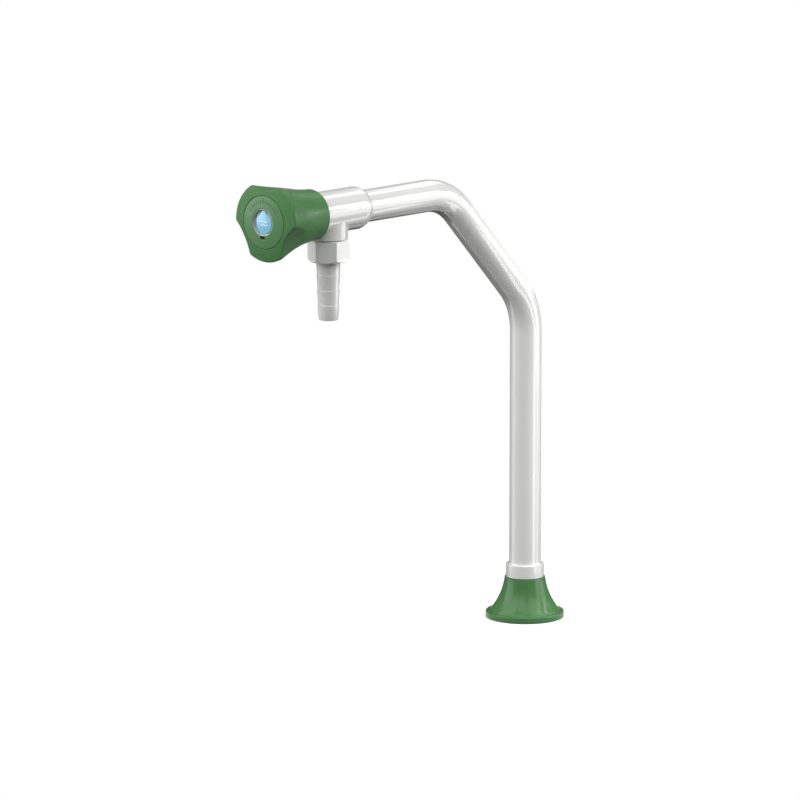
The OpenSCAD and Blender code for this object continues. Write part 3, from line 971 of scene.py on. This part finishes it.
paper = bpy.data.materials.new("paper")
paper.use_nodes = True
tree = paper.node_tree
tree.nodes.clear()
output = tree.nodes.new("ShaderNodeOutputMaterial")
choose = tree.nodes.new("ShaderNodeMixShader")
bench = tree.nodes.new("ShaderNodeBsdfDiffuse")
bench.inputs["Color"].default_value = (bench_shade, bench_shade, bench_shade, 1)
fade = tree.nodes.new("ShaderNodeMixShader")
near = tree.nodes.new("ShaderNodeBsdfDiffuse")
near.inputs["Color"].default_value = (paper_shade, paper_shade, paper_shade, 1)
glow = tree.nodes.new("ShaderNodeEmission")
glow.inputs["Color"].default_value = (1, 1, 1, 1)
glow.inputs["Strength"].default_value = paper_lift
lifted = tree.nodes.new("ShaderNodeAddShader")
far = tree.nodes.new("ShaderNodeEmission")
far.inputs["Color"].default_value = (1, 1, 1, 1)
far.inputs["Strength"].default_value = 1.0
where = tree.nodes.new("ShaderNodeTexCoord")
spread = tree.nodes.new("ShaderNodeVectorMath")
spread.operation = "LENGTH"
edge = tree.nodes.new("ShaderNodeMapRange")
edge.interpolation_type = "SMOOTHSTEP"
edge.inputs["From Min"].default_value = shadow_near
edge.inputs["From Max"].default_value = shadow_far
tree.links.new(where.outputs["Object"], spread.inputs[0])
tree.links.new(spread.outputs["Value"], edge.inputs["Value"])
tree.links.new(edge.outputs["Result"], fade.inputs["Fac"])
tree.links.new(near.outputs["BSDF"], lifted.inputs[0])
tree.links.new(glow.outputs["Emission"], lifted.inputs[1])
tree.links.new(lifted.outputs["Shader"], fade.inputs[1])
tree.links.new(far.outputs["Emission"], fade.inputs[2])
tree.links.new(seen_rays(tree), choose.inputs["Fac"])
tree.links.new(bench.outputs["BSDF"], choose.inputs[1])
tree.links.new(fade.outputs["Shader"], choose.inputs[2])
tree.links.new(choose.outputs["Shader"], output.inputs["Surface"])
paper.cycles.emission_sampling = "NONE"
floor_mesh.materials.append(paper)

room_level = 0.06
wall_fade = 0.075
wall_top = 0.125

world = bpy.data.worlds.new("room")
bpy.context.scene.world = world
world.use_nodes = True
world.cycles.sampling_method = "NONE"
tree = world.node_tree
tree.nodes.clear()
output = tree.nodes.new("ShaderNodeOutputWorld")
choose = tree.nodes.new("ShaderNodeMixShader")
room = tree.nodes.new("ShaderNodeBackground")
room.inputs["Color"].default_value = (1, 1, 1, 1)
room.inputs["Strength"].default_value = room_level
wall = tree.nodes.new("ShaderNodeBackground")
wall.inputs["Color"].default_value = (1, 1, 1, 1)
where = tree.nodes.new("ShaderNodeTexCoord")
rise = tree.nodes.new("ShaderNodeSeparateXYZ")
edge = tree.nodes.new("ShaderNodeMapRange")
edge.interpolation_type = "SMOOTHSTEP"
edge.inputs["From Min"].default_value = wall_fade
edge.inputs["From Max"].default_value = wall_top
edge.inputs["To Min"].default_value = 1.0
edge.inputs["To Max"].default_value = room_level
tree.links.new(where.outputs["Generated"], rise.inputs["Vector"])
tree.links.new(rise.outputs["Z"], edge.inputs["Value"])
tree.links.new(edge.outputs["Result"], wall.inputs["Strength"])
tree.links.new(seen_rays(tree), choose.inputs["Fac"])
tree.links.new(room.outputs["Background"], choose.inputs[1])
tree.links.new(wall.outputs["Background"], choose.inputs[2])
tree.links.new(choose.outputs["Shader"], output.inputs["Surface"])

camera_turn = math.radians(41.3246)
camera_rise = math.radians(10.4134)
camera_aim = Vector((-15.4, -103.0, 152.2)) * mm
camera_distance = 3.4183
camera_lens = 247.68
to_camera = Vector((
    math.sin(camera_turn) * math.cos(camera_rise),
    -math.cos(camera_turn) * math.cos(camera_rise),
    math.sin(camera_rise),
))
middle = Vector((0, -0.09, 0.16))
arm = Vector((0, -0.13, 0.28))
wheel_side = Vector((0.01, -0.2, 0.295))
lower_column = Vector((0, 0, 0.104))
right_side = Vector((0, -0.09, 0.214))


def soft_box(name, turn, rise, distance, width, height, power, facing=middle):
    """An area lamp at a turn to the camera's right and a rise, in degrees, facing a point of the tap."""
    lamp = bpy.data.lights.new(name, "AREA")
    lamp.shape = "RECTANGLE"
    lamp.size = width
    lamp.size_y = height
    lamp.energy = power
    made = bpy.data.objects.new(name, lamp)
    bearing = camera_turn + math.radians(turn)
    level = math.cos(math.radians(rise))
    toward = Vector((math.sin(bearing) * level, -math.cos(bearing) * level, math.sin(math.radians(rise))))
    made.location = facing + toward * distance
    made.rotation_euler = toward.to_track_quat("Z", "Y").to_euler()
    bpy.context.scene.collection.objects.link(made)


soft_box("column_strip", 63, 0, 0.13, 0.03, 0.2, 0.075, lower_column)
soft_box("column_left_strip", -97, 0, 0.13, 0.03, 0.2, 0.025, lower_column)
soft_box("arm_strip", 99, 14, 0.8, 0.13, 0.3, 0.95, arm)
soft_box("arm_back_box", 144, 42, 0.8, 0.18, 0.14, 0.28, arm)
soft_box("wheel_strip", 115, 7, 0.5, 0.12, 0.08, 0.4, wheel_side)
soft_box("wheel_back_box", 156, 26, 0.5, 0.14, 0.12, 0.08, wheel_side)
soft_box("right_box", 99, 0, 0.9, 0.72, 0.42, 2.4, right_side)
soft_box("front_right_box", 50, 42, 1.5, 1.2, 0.8, 9.5)
soft_box("front_box", -22, 42, 1.5, 1.2, 0.8, 8.1)
soft_box("left_high_box", -74, 42, 1.5, 1.24, 0.8, 9.4)
soft_box("left_low_box", -86, 12, 1.5, 1.0, 0.8, 8.8)
soft_box("top_box", 0, 74, 1.5, 0.8, 0.7, 2.7)

screen_foot = 0.1
screen_top = 0.5
screen_steps = 16
felt_shade = 0.02

felt = bpy.data.materials.new("felt")
felt.use_nodes = True
shader = felt.node_tree.nodes["Principled BSDF"]
shader.inputs["Base Color"].default_value = (felt_shade, felt_shade, felt_shade, 1)
shader.inputs["Roughness"].default_value = 1.0
shader.inputs["Specular IOR Level"].default_value = 0.0


def dark_screen(name, first_turn, last_turn, height):
    """A dark screen round the column, leaning away from it, between two turns from the camera."""
    points = []
    for step in range(screen_steps + 1):
        bearing = camera_turn + math.radians(first_turn + (last_turn - first_turn) * step / screen_steps)
        away = Vector((math.sin(bearing), -math.cos(bearing), 0))
        points += [away * screen_foot, away * screen_top + Vector((0, 0, height))]
    faces = [(2 * step, 2 * step + 2, 2 * step + 3, 2 * step + 1) for step in range(screen_steps)]
    mesh = bpy.data.meshes.new(name)
    mesh.from_pydata(points, [], faces)
    mesh.materials.append(felt)
    made = bpy.data.objects.new(name, mesh)
    made.visible_camera = False
    made.visible_diffuse = False
    made.visible_shadow = False
    bpy.context.scene.collection.objects.link(made)


dark_screen("left_screen", -184, -108, 0.28)
dark_screen("right_screen", 108, 162, 0.2)

camera_data = bpy.data.cameras.new("camera")
camera_data.lens = camera_lens
camera_data.sensor_width = 36
camera_data.clip_end = 20
camera = bpy.data.objects.new("camera", camera_data)
camera.location = camera_aim + to_camera * camera_distance
camera.rotation_euler = to_camera.to_track_quat("Z", "Y").to_euler()
bpy.context.scene.collection.objects.link(camera)
bpy.context.scene.camera = camera
bpy.context.scene.view_settings.view_transform = "Standard"
